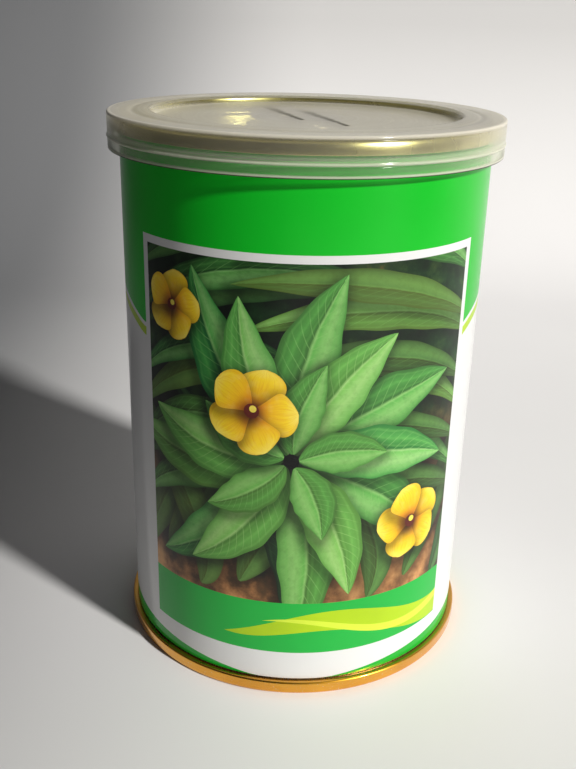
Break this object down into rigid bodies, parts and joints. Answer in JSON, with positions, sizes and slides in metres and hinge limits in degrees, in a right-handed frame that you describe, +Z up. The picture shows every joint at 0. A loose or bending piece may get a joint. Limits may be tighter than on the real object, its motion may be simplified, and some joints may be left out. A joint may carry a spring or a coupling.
{
  "type": "seed tin",
  "caption": "Round tinplate seed tin with gold double seams, ring-pull end, wrap-round printed label and translucent press-on overcap, holding loose seeds.",
  "frame": {"origin": "middle of the plane the tin stands on, under its axis", "axes": "+Z up along the tin's axis; -Y towards the front of the label; +X to the right of someone facing the label"},
  "size_m": [0.0778, 0.0778, 0.1108],
  "materials": {
    "tinplate": "bright drawn tinplate under clear lacquer",
    "label_print": "gloss-varnished print, mostly green and white",
    "gold_lacquer": "tinplate under transparent gold lacquer",
    "ring_pull": "bright steel with rolled edges",
    "overcap_plastic": "translucent natural polyethylene, lightly glossy",
    "seeds": "matt dark grey-green seed coats"
  },
  "bodies": {
    "root": {"can_body": "tinplate", "label": "label_print", "bottom_end": "gold_lacquer", "top_end": "gold_lacquer", "pull_tab": "ring_pull", "overcap_lid": "overcap_plastic", "seed_fill": "seeds"}
  },
  "joints": []
}
